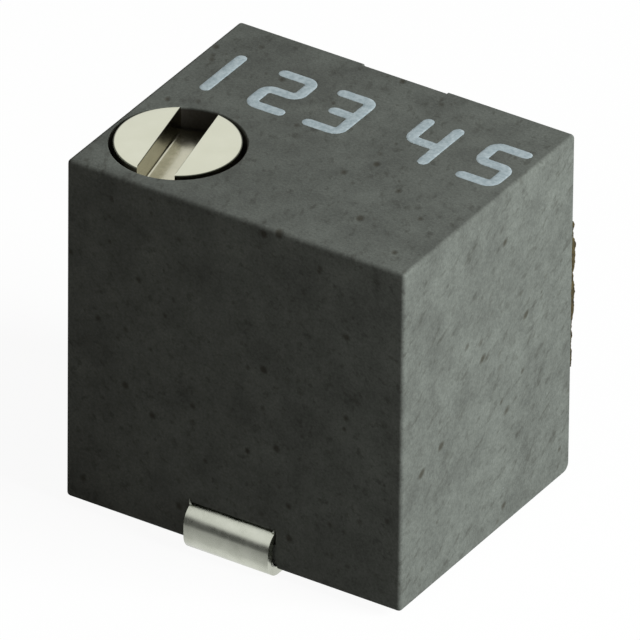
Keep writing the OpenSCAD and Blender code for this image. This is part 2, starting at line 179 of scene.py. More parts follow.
def calc(tree, operation, first, second=0.0):
    return add(tree, "ShaderNodeMath", {0: first, 1: second}, operation=operation), "Value"


def vector_calc(tree, operation, inputs):
    return add(tree, "ShaderNodeVectorMath", inputs, operation=operation), "Vector"


def mix(tree, factor, first, second):
    """A colour between two, each an sRGB hex colour or a (node, output) pair."""
    first, second = [linear(c) if isinstance(c, str) else c for c in (first, second)]
    return add(tree, "ShaderNodeMix", {"Factor": factor, 6: first, 7: second}, data_type="RGBA"), 2


def end_material(tree, colour, rough, height, strength, relief_mm, metallic=0.0, specular=0.5):
    """The shader, with bumps of a height in millimetres."""
    bump = add(tree, "ShaderNodeBump", {"Height": height, "Strength": strength, "Distance": relief_mm * MM})
    shader = add(tree, "ShaderNodeBsdfPrincipled", {
        "Base Color": colour, "Roughness": rough, "Metallic": metallic, "Specular IOR Level": specular,
        "Normal": (bump, "Normal")})
    add(tree, "ShaderNodeOutputMaterial", {"Surface": (shader, "BSDF")})


print("steps:", [f.__name__ for f in (noise, spread, calc, vector_calc, mix, end_material)])

# %% [markdown]
# The housing is a glass-filled thermoplastic, moulded in a plain steel tool: dark grey, matte, with a
# granular skin, short slanting flow marks, small pits and a few pale specks of filler. Cloudy noise mixes
# two greys, a finer noise makes the grain, noise stretched along a slant makes the flow marks, and Voronoi
# cells give pits and specks. Each cell has its own random value, which sets the size of its spot or leaves
# it out. One noise could roughen all of it, but then the marks would have neither a direction nor a size of
# their own. The wall of the screw's bore is darkened to near black with painted shade.

# %% Finish: moulded housing
BORE_R = head_r + 0.07
BORE_FLOOR_Z = 5.16
MOUTH_R = 0.03
# Painted shade on the bore's wall: how high it reaches, how soft its edges are and how dark it gets.
BORE_SHADE_HALF_H = 0.62
BORE_SHADE_FADE = 0.04
BORE_SHADE_SHARE = 0.85
EMPTY_CELLS = 0.35
FLOW_SLANT = (math.radians(-60), 0, 0.4)


def slanted(tree, place, stretch):
    """Coordinates that draw a pattern out along the flow of the melt."""
    return add(tree, "ShaderNodeMapping", {
        "Vector": place, "Rotation": FLOW_SLANT, "Scale": (1, 1, stretch)}, vector_type="TEXTURE"), "Vector"


def spots(tree, vector, spacing_mm, largest, soft):
    """Round spots of random sizes, at most one to a cell: 1 inside, 0 outside."""
    cells = add(tree, "ShaderNodeTexVoronoi", {"Vector": vector, "Scale": per_mm(spacing_mm)})
    chance = add(tree, "ShaderNodeSeparateColor", {"Color": (cells, "Color")})
    reach = spread(tree, (chance, "Red"), EMPTY_CELLS, 1.0, -soft, largest)
    return spread(tree, calc(tree, "SUBTRACT", reach, (cells, "Distance")), 0.0, soft)


def bore_shade(tree, place):
    """The share of painted shade: most on the bore's wall, none above its rounded mouth or below its floor.
    """
    middle = (BORE_FLOOR_Z + case_high.z - MOUTH_R) / 2
    from_bore = vector_calc(tree, "SUBTRACT", {
        0: place, 1: (screw_axis.x * MM, screw_axis.y * MM, middle * MM)})
    level = add(tree, "ShaderNodeSeparateXYZ", {"Vector": from_bore})
    above = calc(tree, "ABSOLUTE", (level, "Z"))
    on_wall = spread(tree, above, BORE_SHADE_HALF_H * MM, (BORE_SHADE_HALF_H + BORE_SHADE_FADE) * MM,
                     BORE_SHADE_SHARE, 0.0)
    flat = vector_calc(tree, "MULTIPLY", {0: from_bore, 1: (1, 1, 0)})
    radius = (vector_calc(tree, "LENGTH", {0: flat})[0], "Value")
    return spread(tree, radius, (BORE_R + 0.01) * MM, (BORE_R + MOUTH_R) * MM, on_wall, 0.0)


def moulded_case():
    material, tree = new_tree("glass_filled_moulding")
    place = object_place(tree)
    mottle = noise(tree, place, 0.7, 6.0, 0.68)
    flow = noise(tree, slanted(tree, place, 2.6), 0.14, 3.0, 0.6)
    grain = noise(tree, place, 0.045, 3.0, 0.7)
    pits = spots(tree, slanted(tree, place, 1.7), 0.24, 0.36, 0.2)
    specks = spots(tree, place, 0.8, 0.035, 0.02)

    greys = mix(tree, spread(tree, mottle, 0.3, 0.7), "#4c4e4a", "#5f625d")
    shade = spread(tree, grain, 0.3, 0.7, 0.8, 1.2)
    grained = vector_calc(tree, "SCALE", {0: greys, "Scale": shade})
    marked = mix(tree, spread(tree, flow, 0.56, 0.72, 0.0, 0.5), grained, "#33322d")
    pitted = mix(tree, calc(tree, "MULTIPLY", pits, 0.7), marked, "#2e2a21")
    specked = mix(tree, calc(tree, "MULTIPLY", specks, 0.5), pitted, "#a3aaa6")
    # Painted shade: the bore's wall is darkened to near black.
    colour = mix(tree, bore_shade(tree, place), specked, "#1c1611")
    rough = spread(tree, flow, 0.0, 1.0, 0.6, 0.8)
    skin = calc(tree, "SUBTRACT", grain, pits)
    end_material(tree, colour, rough, skin, 0.4, 0.01, specular=0.12)
    return material


case_finish = moulded_case()
print(case_finish.name, len(case_finish.node_tree.nodes), "nodes")

# %% [markdown]
# The screw is turned brass with bright nickel plate, so it is a metal of a warm pale grey. The lathe left
# fine rings round its axis. A wave texture gives them with one node where a mesh would need thousands of
# faces. They are coarser than real ones, so that they show at all.

# %% Finish: plated screw
RING_RADIAN = 0.06
WAVE_RADIANS = 20


def plated_screw():
    """A wave's phase is 20 x scale x distance. It grows by 1 in RING_RADIAN, so rings lie 0.38 mm apart."""
    material, tree = new_tree("nickel_plated_brass")
    place = object_place(tree)
    centred = add(tree, "ShaderNodeMapping", {
        "Vector": place, "Location": (-screw_axis.x * MM, -screw_axis.y * MM, 0)})
    rings = add(tree, "ShaderNodeTexWave", {
        "Vector": (centred, "Vector"), "Scale": per_mm(RING_RADIAN) / WAVE_RADIANS, "Distortion": 0.4},
        wave_type="RINGS", rings_direction="Z")
    cloud = noise(tree, place, 0.5, 4.0)
    tone = mix(tree, cloud, "#cbccb8", "#d9dac8")
    rough = spread(tree, cloud, 0.0, 1.0, 0.1, 0.18)
    end_material(tree, tone, rough, (rings, "Fac"), 0.06, 0.002, metallic=1.0)
    return material


screw_finish = plated_screw()
print(screw_finish.name, len(screw_finish.node_tree.nodes), "nodes")

# %% [markdown]
# The open rear is closed with black epoxy. It set with a glossy skin, and the bubbles that burst as it
# cured left dull little craters. The craters are the same random spots as the pits of the housing, larger
# and wider apart, and they raise the roughness where they lie.

# %% Finish: poured resin
def poured_resin():
    material, tree = new_tree("cast_epoxy")
    place = object_place(tree)
    cloud = noise(tree, place, 0.9, 3.0)
    craters = spots(tree, place, 0.5, 0.13, 0.05)
    tone = mix(tree, cloud, "#171512", "#2a251f")
    colour = mix(tree, calc(tree, "MULTIPLY", craters, 0.5), tone, "#4a4238")
    rough = spread(tree, calc(tree, "MAXIMUM", cloud, craters), 0.3, 1.0, 0.16, 0.6)
    skin = calc(tree, "SUBTRACT", cloud, craters)
    end_material(tree, colour, rough, skin, 0.6, 0.03)
    return material


resin_finish = poured_resin()
print(resin_finish.name, len(resin_finish.node_tree.nodes), "nodes")

# %% [markdown]
# The other finishes differ in only a few values: two close tones, a grain size, a range of roughness, the
# height of the grain and whether it is a metal. A function for each would repeat itself, so one table holds
# the values, with what each finish gives the eye, and one function makes the material from a row.

# %% Finishes: one row each
# name: (dark tone, light tone, grain in mm, least and greatest roughness, relief in mm, metallic)
FINISHES = {
    # Terminals: a soft, slightly cloudy shine with a cool tint.
    "tin_plated_strip": ("#b9bcaf", "#d0d3c6", 0.35, 0.18, 0.36, 0.004, 1.0),
    # Joints: rounder and a little greyer than the tin.
    "solder_alloy": ("#a9abaa", "#c9cbc8", 0.15, 0.22, 0.4, 0.006, 1.0),
    # Clip: a brown-yellow spring metal.
    "phosphor_bronze": ("#a98d5f", "#c4a877", 0.1, 0.25, 0.4, 0.003, 1.0),
    # Wiper: a brighter yellow, smooth where it slides.
    "gold_alloy_spring": ("#c9a660", "#e0c27d", 0.1, 0.2, 0.32, 0.002, 1.0),
    # Bead on the rear edge: a dull brown crust.
    "crumbled_epoxy": ("#252016", "#463e28", 0.08, 0.8, 0.95, 0.01, 0.0),
    # Gear: a milky cream plastic.
    "moulded_nylon": ("#cbc5ae", "#ddd8c4", 0.3, 0.4, 0.55, 0.004, 0.0),
    # Ring: nearly black, with a soft sheen.
    "silicone_rubber": ("#26211f", "#33302d", 0.2, 0.5, 0.65, 0.003, 0.0),
    # Plate: white and finely speckled.
    "alumina_ceramic": ("#dcdad0", "#efeee8", 0.06, 0.5, 0.7, 0.004, 0.0),
    # Resistive track: a fired, glassy black.
    "cermet_ink": ("#1d1c1d", "#2e2d2e", 0.05, 0.35, 0.55, 0.003, 0.0),
    # Pads and collector: a dull silver film.
    "fired_silver": ("#a8a8a3", "#c4c4bf", 0.05, 0.4, 0.6, 0.003, 1.0),
    # The slot's sides and floor: the screw's own metal, duller from the cutter and darker with painted shade.
    "milled_side_painted_shade": ("#9c9782", "#aaa690", 0.3, 0.12, 0.2, 0.0005, 1.0),
    "milled_floor_painted_shade": ("#bdbba6", "#cccab6", 0.2, 0.16, 0.26, 0.0008, 1.0),
    # Figures: a matte, bluish pale grey.
    "marking_ink": ("#8d9a9f", "#a9b4b8", 0.07, 0.7, 0.9, 0.003, 0.0),
}


def simple_finish(name):
    """The finish of one row."""
    dark, light, grain_mm, rough_min, rough_max, relief_mm, metallic = FINISHES[name]
    material, tree = new_tree(name)
    cloud = noise(tree, object_place(tree), grain_mm, 4.0, 0.6)
    tone = mix(tree, spread(tree, cloud, 0.35, 0.65), dark, light)
    rough = spread(tree, cloud, 0.3, 0.7, rough_min, rough_max)
    end_material(tree, tone, rough, cloud, 0.4, relief_mm, metallic)
    return material


finish = {name: simple_finish(name) for name in FINISHES}
print("finishes from the table:", len(finish))

# %% [markdown]
# ## How a piece is made
# Every piece starts as a mesh of its own, drawn point by point in millimetres. It is cut or joined with
# others as a real blank is, its modifiers are applied, and it is handed over to the frame as a plain mesh
# with its object at the origin. Live modifiers would be easier to change later, but the frame moves
# finished meshes.

# %% Helpers: from points to a finished piece
def new_object(name, bm):
    """A scene object from a bmesh, its normals outwards."""
    bmesh.ops.remove_doubles(bm, verts=bm.verts, dist=1e-5)
    bmesh.ops.recalc_face_normals(bm, faces=bm.faces)
    mesh = bpy.data.meshes.new(name)
    bm.to_mesh(mesh)
    bm.free()
    return in_scene(name, mesh)


def modified_mesh(obj):
    """What an object's modifiers make of it, as a new mesh."""
    evaluated = obj.evaluated_get(bpy.context.evaluated_depsgraph_get())
    return bpy.data.meshes.new_from_object(evaluated)


def bake(obj):
    """Apply the modifiers of an object."""
    mesh = modified_mesh(obj)
    old = obj.data
    obj.modifiers.clear()
    obj.data = mesh
    bpy.data.meshes.remove(old)


def combine(obj, others, operation):
    """Cut others from obj, or join them to it, and delete them."""
    for other in others:
        step = obj.modifiers.new("step", "BOOLEAN")
        step.operation = operation
        step.solver = "EXACT"
        step.object = other
    bake(obj)
    for other in others:
        bpy.data.objects.remove(other)


def finish_piece(obj, body, stands_for, materials, sharp=32):
    """Shrink to metres, smooth all but the sharp edges, dress, and hand over to the frame."""
    obj.data.transform(Matrix.Scale(MM, 4))
    obj.data.shade_smooth()
    obj.data.set_sharp_from_angle(angle=math.radians(sharp))
    obj.data.materials.clear()
    for material in materials:
        obj.data.materials.append(material)
    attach(obj, body)
    if stands_for:
        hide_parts(*stands_for)
    print(obj.name, len(obj.data.polygons), "faces")


# %% [markdown]
# Moulded, turned and formed parts are all described by an outline and how it moves. So four functions draw
# every solid here: a box, an outline pushed along a line, an outline turned round an axis, and the arc that
# rounds a corner. Primitives from the Add menu can't hold such steps and grooves.

# %% Helpers: the solids that pieces are drawn from
def box_solid(low, high, radius=0, name="box"):
    """A box between two corners, with its edges rounded if it has a radius."""
    bm = bmesh.new()
    bmesh.ops.create_cube(bm, size=1)
    bmesh.ops.scale(bm, vec=Vector(high) - Vector(low), verts=bm.verts)
    bmesh.ops.translate(bm, vec=(Vector(high) + Vector(low)) / 2, verts=bm.verts)
    if radius:
        bmesh.ops.bevel(bm, geom=bm.edges, offset=radius, segments=5, profile=0.5, affect="EDGES")
    return new_object(name, bm)


def prism(points, place, depth):
    """A closed outline pushed along depth. place turns its two coordinates into a point.

    Points are rounded to a tenth of a micrometre, so faces that should lie in one plane do.
    """
    bm = bmesh.new()
    near = [bm.verts.new([round(c, 4) for c in place(*p)]) for p in points]
    far = [bm.verts.new([round(c, 4) for c in place(*p) + depth]) for p in points]
    bm.faces.new(near)
    bm.faces.new(list(reversed(far)))
    for i in range(len(points)):
        j = (i + 1) % len(points)
        bm.faces.new((near[i], far[i], far[j], near[j]))
    return new_object("prism", bm)


def join_rings(bm, rings, steps):
    """Faces between each ring of points and the next. A ring may be a single point."""
    for low, high in zip(rings, rings[1:]):
        for k in range(steps):
            n = (k + 1) % steps
            corner = [low[k % len(low)], low[n % len(low)], high[n % len(high)], high[k % len(high)]]
            bm.faces.new(list(dict.fromkeys(corner)))


def lathe(profile, axis_at, along="Z", steps=128):
    """A solid of revolution. profile is (radius, height) from one end of the axis to the other."""
    bm = bmesh.new()
    turn = [2 * math.pi * k / steps for k in range(steps)]
    rings = []
    for radius, height in profile:
        rings.append([bm.verts.new((radius * math.cos(a), radius * math.sin(a), height))
                      for a in (turn if radius else [0])])
    join_rings(bm, rings, steps)
    if along == "Y":
        bmesh.ops.rotate(bm, verts=bm.verts, matrix=Matrix.Rotation(-math.pi / 2, 3, "X"))
    bmesh.ops.translate(bm, verts=bm.verts, vec=axis_at)
    return new_object("lathe", bm)


def arc(centre, radius, start, end, steps):
    """Points of an arc, by angles in degrees."""
    turn = [math.radians(start + (end - start) * k / steps) for k in range(steps + 1)]
    return [(centre[0] + radius * math.cos(a), centre[1] + radius * math.sin(a)) for a in turn]


print("shapes:", [f.__name__ for f in (box_solid, prism, lathe, arc)])

# %% [markdown]
# ## Housing
# The real housing is one moulding: a block with slightly rounded edges, a stepped bore for the screw, a
# round chamber for the gear with a pivot boss, slots for the clip and the front terminal, and an opening at
# the rear. Its lower rear edge is worn round. It could be drawn face by face, but a block cut by solids of
# the same sizes can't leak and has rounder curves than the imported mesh.

# %% Housing sizes, in millimetres
FRONT_WALL = 0.5
SIDE_WALL = 0.4
BOTTOM_WALL = 0.45
LEDGE_DEPTH = 3.35
NECK_BORE_R = 0.84
TAIL_BORE_R = 0.38
NECK_FLOOR_Z = 2.26
TAIL_FLOOR_Z = 1.66
CHAMBER_R = 1.95
CHAMBER_PAST = 0.05
PIVOT_R = 0.45
PIVOT_LENGTH = 1.6
PIVOT_CHAMFER = 0.04
PIVOT_ROOT = 0.02
NOTCH_W = 1.61
NOTCH_D = 0.09
EDGE_R = 0.07
WORN_R = 0.3
STRIP_T = 0.15
STRIP_W = 1.6
STRIP_GAP = 0.05
STRIP_TOP_Z = case_low.z + 0.7
STRIP_LOW_Z = STRIP_TOP_Z - STRIP_T
FOOT_LENGTH = 1.3
FOOT_RECESS = 0.1
REAR_STRIP_X = 1.27
BEND_R = 0.18
SEAT = 0.02
PRONG_ROOM = 0.34
POCKET_SHARE = 0.7
BEYOND = 1.0
OVERLAP = 0.01

front_y, rear_y, top_z, bottom_z = case_low.y, case_high.y, case_high.z, case_low.z
ledge_y = front_y + LEDGE_DEPTH
open_half_w = case_high.x - SIDE_WALL
open_z0 = bottom_z + BOTTOM_WALL
open_z1 = top_z - SIDE_WALL
print("opening at the rear", round(2 * open_half_w, 2), "x", round(open_z1 - open_z0, 2), "mm")


# %% Build the housing
def screw_and_gear_room():
    """The stepped bore, the gear's chamber and the opening at the rear."""
    bore = [(0, TAIL_FLOOR_Z), (TAIL_BORE_R, TAIL_FLOOR_Z), (TAIL_BORE_R, NECK_FLOOR_Z),
            (NECK_BORE_R, NECK_FLOOR_Z), (NECK_BORE_R, BORE_FLOOR_Z), (BORE_R, BORE_FLOOR_Z)]
    bore += arc((BORE_R + MOUTH_R, top_z - MOUTH_R), MOUTH_R, 180, 90, 6)
    bore += [(BORE_R + MOUTH_R, top_z + BEYOND), (0, top_z + BEYOND)]
    depth = LEDGE_DEPTH - FRONT_WALL + CHAMBER_PAST
    chamber = [(0, 0), (CHAMBER_R, 0), (CHAMBER_R, depth), (0, depth)]
    return [lathe(bore, (screw_axis.x, screw_axis.y, 0), steps=160),
            lathe(chamber, (rotor_axis.x, front_y + FRONT_WALL, rotor_axis.z), along="Y"),
            box_solid((-open_half_w, ledge_y, open_z0), (open_half_w, rear_y + BEYOND, open_z1))]


def terminal_room():
    """The pockets for the prongs, the slot for the front strip and the recesses for the feet."""
    wide = STRIP_W / 2 + STRIP_GAP
    tight = STRIP_W / 2 + SEAT
    pocket_y = ledge_y - STRIP_T - PRONG_ROOM
    pocket_top = rotor_axis.z - POCKET_SHARE * CHAMBER_R
    foot_top = bottom_z + FOOT_RECESS
    ahead = front_y - BEYOND
    inside = ledge_y + OVERLAP
    room = [box_solid((x - wide, pocket_y, open_z0), (x + wide, inside, pocket_top))
            for x in (-REAR_STRIP_X, 0, REAR_STRIP_X)]
    room += [box_solid((-tight, ahead, STRIP_LOW_Z - SEAT), (tight, inside, STRIP_TOP_Z + SEAT)),
             box_solid((-tight, ahead, STRIP_LOW_Z - BEND_R / 2), (tight, front_y + BEND_R, STRIP_TOP_Z)),
             box_solid((-wide, ahead, bottom_z - BEYOND), (wide, front_y + FOOT_LENGTH, foot_top))]
    room += [box_solid((x - wide, rear_y - FOOT_LENGTH, bottom_z - BEYOND),
                       (x + wide, rear_y + BEYOND, foot_top)) for x in (-REAR_STRIP_X, REAR_STRIP_X)]
    return room


def edge_cuts():
    """The notch in the top, the worn lower rear edge and the slot for the clip."""
    notch = box_solid((-NOTCH_W / 2, rear_y - NOTCH_D, open_z1 - OVERLAP),
                      (NOTCH_W / 2, rear_y + BEYOND, top_z + BEYOND))
    outline = arc((rear_y - WORN_R, bottom_z + WORN_R), WORN_R, -90, 0, 8)
    outline += [(rear_y + BEYOND, bottom_z + WORN_R), (rear_y + BEYOND, bottom_z - BEYOND),
                (rear_y - WORN_R, bottom_z - BEYOND)]
    worn = prism(outline, lambda y, z: Vector((case_low.x - BEYOND, y, z)),
                 Vector((2 * case_high.x + 2 * BEYOND, 0, 0)))
    clip_low, clip_high = corners("screw_clip")
    clip = box_solid(clip_low - Vector((SEAT, SEAT, SEAT)),
                     (clip_high.x + SEAT, ledge_y + OVERLAP, clip_high.z + SEAT))
    return [notch, worn, clip]


case_piece = box_solid(case_low, case_high, EDGE_R, "case_moulding")
combine(case_piece, screw_and_gear_room() + terminal_room() + edge_cuts(), "DIFFERENCE")
boss = [(0, -PIVOT_ROOT), (PIVOT_R, -PIVOT_ROOT), (PIVOT_R, PIVOT_LENGTH - PIVOT_CHAMFER),
        (PIVOT_R - PIVOT_CHAMFER, PIVOT_LENGTH), (0, PIVOT_LENGTH)]
pivot = lathe(boss, (rotor_axis.x, front_y + FRONT_WALL, rotor_axis.z), along="Y", steps=64)
combine(case_piece, [pivot], "UNION")
finish_piece(case_piece, "case", ["housing"], [case_finish])

# %% [markdown]
# ## Adjustment screw
# The screw is turned in one piece: a slotted head, a groove for the seal, a neck, a groove for the clip,
# the worm and a journal. A Screw modifier could make the thread, but it would have to be joined to the
# rest. Here all but the slot is one sheet of rings whose radius depends on height and, along the worm, on
# angle too, as the crest of the thread climbs by one pitch in each turn. The slot is milled, so its sides
# and its floor are duller than the faced top and darker with painted shade, with a finish each.

# %% Screw sizes, in millimetres
GEAR_MODULE = 0.2
PITCH = math.pi * GEAR_MODULE
WORM_PITCH_R = 0.58
WORM_TIP_R = WORM_PITCH_R + 0.9 * GEAR_MODULE
WORM_ROOT_R = WORM_PITCH_R - 1.15 * GEAR_MODULE
FLANK_PLAY = 0.05
PRESSURE_ANGLE = math.radians(20)
WORM_LENGTH = 2.0
WORM_STEPS = 110
RING_STEPS = 144
TAIL_R = 0.34
THREAD_END_R = 0.35
TOP_RING_R = 0.5
HEAD_LOW_Z = 5.72
# (height, radius) above the worm: neck, collar, clip groove, collar, seal groove.
SHAFT = [(4.43, 0.5), (4.55, 0.5), (4.55, 0.8), (4.73, 0.8), (4.73, 0.5),
         (4.99, 0.5), (4.99, 0.8), (5.2, 0.8), (5.2, 0.62), (HEAD_LOW_Z, 0.62)]
CHAMFER = 0.04
HEAD_ROUND = 0.05
SLOT_W = 0.64
SLOT_DEPTH = 0.445
SLOT_TURN = math.radians(12)
SLOT_LIP = 0.02
SLOT_FILLET = 0.04
SLOT_ABOVE = 0.2

head_z = screw_high.z
worm_z0 = rotor_axis.z - WORM_LENGTH / 2
worm_z1 = rotor_axis.z + WORM_LENGTH / 2
print("worm from", round(worm_z0, 3), "to", round(worm_z1, 3), "mm, pitch", round(PITCH, 3))


# %% Draw the screw's rings
def worm_radius(angle, z):
    """Radius of the thread's flank, crest or root at an angle in turns and a height."""
    offset = (angle - (z - rotor_axis.z) / PITCH + 0.5) % 1 - 0.5
    flank = (PITCH / 4 - FLANK_PLAY / 2 - abs(offset) * PITCH) / math.tan(PRESSURE_ANGLE)
    return min(WORM_TIP_R, max(WORM_ROOT_R, WORM_PITCH_R + flank))


def screw_rings():
    """(height, radius) from the journal to the head. A radius of None is the worm's."""
    rings = [(screw_low.z, 0), (screw_low.z, TAIL_R - CHAMFER), (screw_low.z + CHAMFER, TAIL_R),
             (worm_z0, TAIL_R)]
    rings += [(worm_z0 + WORM_LENGTH * k / WORM_STEPS, None) for k in range(WORM_STEPS + 1)]
    rings += [(worm_z1, THREAD_END_R)] + SHAFT
    rings += [(HEAD_LOW_Z, head_r - CHAMFER), (HEAD_LOW_Z + CHAMFER, head_r)]
    rings += [(z, r) for r, z in arc((head_r - HEAD_ROUND, head_z - HEAD_ROUND), HEAD_ROUND, 0, 90, 6)]
    return rings + [(head_z, TOP_RING_R), (head_z, 0)]


def build_screw():
    bm = bmesh.new()
    rows = []
    for z, radius in screw_rings():
        row = []
        for k in range(RING_STEPS):
            turn = k / RING_STEPS
            r = worm_radius(turn, z) if radius is None else radius
            a = 2 * math.pi * turn
            row.append(bm.verts.new((screw_axis.x + r * math.cos(a), screw_axis.y + r * math.sin(a), z)))
        rows.append(row)
    join_rings(bm, rows, RING_STEPS)
    return new_object("slotted_screw", bm)


screw_piece = build_screw()
print("blank of the screw:", len(screw_piece.data.polygons), "faces")


# %% Mill the slot and dress the screw
STEEP = 0.3
RIM_SHARE = 0.96


def slot_cutter():
    """The slot: small fillets at its floor and lips that flare where the edges are broken."""
    half, floor = SLOT_W / 2, head_z - SLOT_DEPTH
    side = arc((half - SLOT_FILLET, floor + SLOT_FILLET), SLOT_FILLET, -90, 0, 4)
    side += arc((half + SLOT_LIP, head_z - SLOT_LIP), SLOT_LIP, 180, 90, 4)
    side += [(half + SLOT_LIP, head_z + SLOT_ABOVE)]
    outline = side + [(-x, z) for x, z in reversed(side)]
    across = Vector((math.cos(SLOT_TURN), math.sin(SLOT_TURN), 0))
    along = Vector((-math.sin(SLOT_TURN), math.cos(SLOT_TURN), 0))
    start = Vector((screw_axis.x, screw_axis.y, 0)) - along * 1.5 * head_r
    return prism(outline, lambda x, z: start + across * x + Vector((0, 0, z)), along * 3 * head_r)


def slot_part(face):
    """The material of a face: 1 on the slot's sides, 2 on its floor, 0 elsewhere."""
    out = (face.center / MM - screw_axis).xy.length
    height = face.center.z / MM - head_z + SLOT_DEPTH
    if abs(face.normal.z) < STEEP and out < RIM_SHARE * head_r and height > 0:
        return 1
    if face.normal.z > STEEP and out < head_r and -OVERLAP < height < SLOT_FILLET + OVERLAP:
        return 2
    return 0


combine(screw_piece, [slot_cutter()], "DIFFERENCE")
finish_piece(screw_piece, "screw", ["adjustment_screw"],
             [screw_finish, finish["milled_side_painted_shade"], finish["milled_floor_painted_shade"]])
# The slot's faces take the darker finishes: painted shade inside the slot.
for face in screw_piece.data.polygons:
    face.material_index = slot_part(face)
print("faces of the slot:", sum(face.material_index > 0 for face in screw_piece.data.polygons))

# %% [markdown]
# ## Terminals
# Each terminal is stamped from thin strip and formed: out through the wall, down in a wide bend, back under
# the body as a foot, and inside into three prongs that grip the ceramic plate. A Solidify modifier on a
# bent sheet would come close, but its thickness drifts in tight bends. So the side view is drawn as two
# offset paths with arcs, and the flat parts are joined as solids. The bend catches the light, so it has
# many facets. At both corners of the front slot stands a sliver of metal, sheared off as the strip was
# pushed in.

# %% Terminal sizes and outlines, in millimetres
PRONG_W = 0.4
PRONG_SPACING = 1.2
PRONG_BEND_R = 0.05
PRONG_STEPS = 6
BEND_STEPS = 14
FLAT_FROM = 0.1
EAR_W = 0.05
EAR_T = 0.025
EAR_TIP_W = 0.012
EAR_LEAN = 0.01
EAR_ROOT = 0.02
STRIP_EDGE = 0.01
plate_y = corners("substrate")[1].y
print_y = corners("resistive_track")[0].y
prong_top = corners("terminal_2")[1].z


def j_outline():
    """(outwards, height) of the strip outside the wall, from its upper face round and back."""
    outer = BEND_R + STRIP_T
    reach = STRIP_GAP + STRIP_T
    centre = reach - outer
    path = [(-outer, STRIP_TOP_Z)] + arc((centre, STRIP_TOP_Z - outer), outer, 90, 0, BEND_STEPS)
    path += arc((centre, outer), outer, 0, -90, BEND_STEPS) + [(reach - FOOT_LENGTH, 0)]
    path += [(reach - FOOT_LENGTH, STRIP_T)] + arc((centre, outer), BEND_R, -90, 0, BEND_STEPS)
    return path + arc((centre, STRIP_TOP_Z - outer), BEND_R, 0, 90, BEND_STEPS) + [(-outer, STRIP_LOW_Z)]


def prong_outline(depth):
    """(inwards, height) of a prong whose outer face is at depth."""
    outer = PRONG_BEND_R + STRIP_T
    centre = (depth - outer, STRIP_LOW_Z + outer)
    path = [(BEND_R, STRIP_LOW_Z)] + arc(centre, outer, -90, 0, PRONG_STEPS)
    path += [(depth, prong_top), (depth - STRIP_T, prong_top)]
    return path + arc(centre, PRONG_BEND_R, 0, -90, PRONG_STEPS) + [(BEND_R, STRIP_TOP_Z)]


print("points of a terminal:", len(j_outline()), "outside,", len(prong_outline(1)), "for each prong")


# %% Build the terminals
def round_edges(obj, width):
    """Break the sharp edges, as stamping and plating do."""
    bevel = obj.modifiers.new("edges", "BEVEL")
    bevel.width = width
    bevel.segments = 2
    bevel.limit_method = "ANGLE"
    bevel.angle_limit = math.radians(50)
    bake(obj)


def strip_solid(outline, wall_y, out, x, width):
    """An outline in (distance, height) as a solid of a width. out is +1 or -1 along Y."""
    return prism(outline, lambda d, z: Vector((x - width / 2, wall_y + out * d, z)), Vector((width, 0, 0)))


def ear_solid(side, height, wall_y, out, x):
    """A sheared sliver on one side of the strip."""
    tip = side * (STRIP_W / 2 + EAR_LEAN)
    outline = [(side * (STRIP_W / 2 - EAR_W), STRIP_TOP_Z - EAR_ROOT),
               (side * STRIP_W / 2, STRIP_TOP_Z - EAR_ROOT),
               (tip, STRIP_TOP_Z + height), (tip - side * EAR_TIP_W, STRIP_TOP_Z + height)]
    return prism(outline, lambda across, z: Vector((x + across, wall_y + out * EAR_T, z)),
                 Vector((0, -out * EAR_T, 0)))


def build_terminal(name, x, wall_y, out, near, far, ears=()):
    """near and far are the depths of the side and middle prongs, ears the heights of the slivers."""
    piece = strip_solid(j_outline(), wall_y, out, x, STRIP_W)
    flat_to = near - STRIP_T - PRONG_BEND_R
    flat = [(FLAT_FROM, STRIP_LOW_Z), (flat_to, STRIP_LOW_Z),
            (flat_to, STRIP_TOP_Z), (FLAT_FROM, STRIP_TOP_Z)]
    others = [strip_solid(flat, wall_y, -out, x, STRIP_W),
              strip_solid(prong_outline(far), wall_y, -out, x, PRONG_W)]
    others += [strip_solid(prong_outline(near), wall_y, -out, x + side * PRONG_SPACING / 2, PRONG_W)
               for side in (-1, 1)]
    others += [ear_solid(side, height, wall_y, out, x) for side, height in zip((-1, 1), ears)]
    combine(piece, others, "UNION")
    round_edges(piece, STRIP_EDGE)
    piece.name = name
    return piece


terminal_pieces = {
    "terminal_2": build_terminal("front_terminal", 0, front_y, -1, print_y - front_y,
                                 plate_y + STRIP_T - front_y, ears=(0.08, 0.05))
}
for node, x in (("terminal_1", -REAR_STRIP_X), ("terminal_3", REAR_STRIP_X)):
    terminal_pieces[node] = build_terminal("rear_" + node, x, rear_y, 1, rear_y - plate_y,
                                           rear_y - print_y + STRIP_T)
print("terminals:", [piece.name for piece in terminal_pieces.values()])

# %% [markdown]
# ## Resin
# The open rear is filled with the black epoxy. It climbs a little where it wets the walls and dips between
# them. A fluid simulation would give that meniscus at great cost. A height field over the opening gives it
# with one formula, on a grid that is finer near the walls, and copies of the terminals are cut out of it.

# %% Build the resin
RESIN_RECESS = 0.09
RESIN_GAP = 0.005
RESIN_STEPS = 64
CLIMB = 0.055
CLIMB_REACH = 0.12
WAVE = 0.012


def resin_surface(x, z):
    """How far back the resin's skin lies."""
    wall = min(open_half_w - abs(x), z - open_z0, open_z1 - z)
    climb = CLIMB * math.exp(-wall / CLIMB_REACH)
    wave = WAVE * math.sin(2.1 * x + 0.7) * math.sin(1.7 * z + 0.4)
    return rear_y - RESIN_RECESS + climb + wave


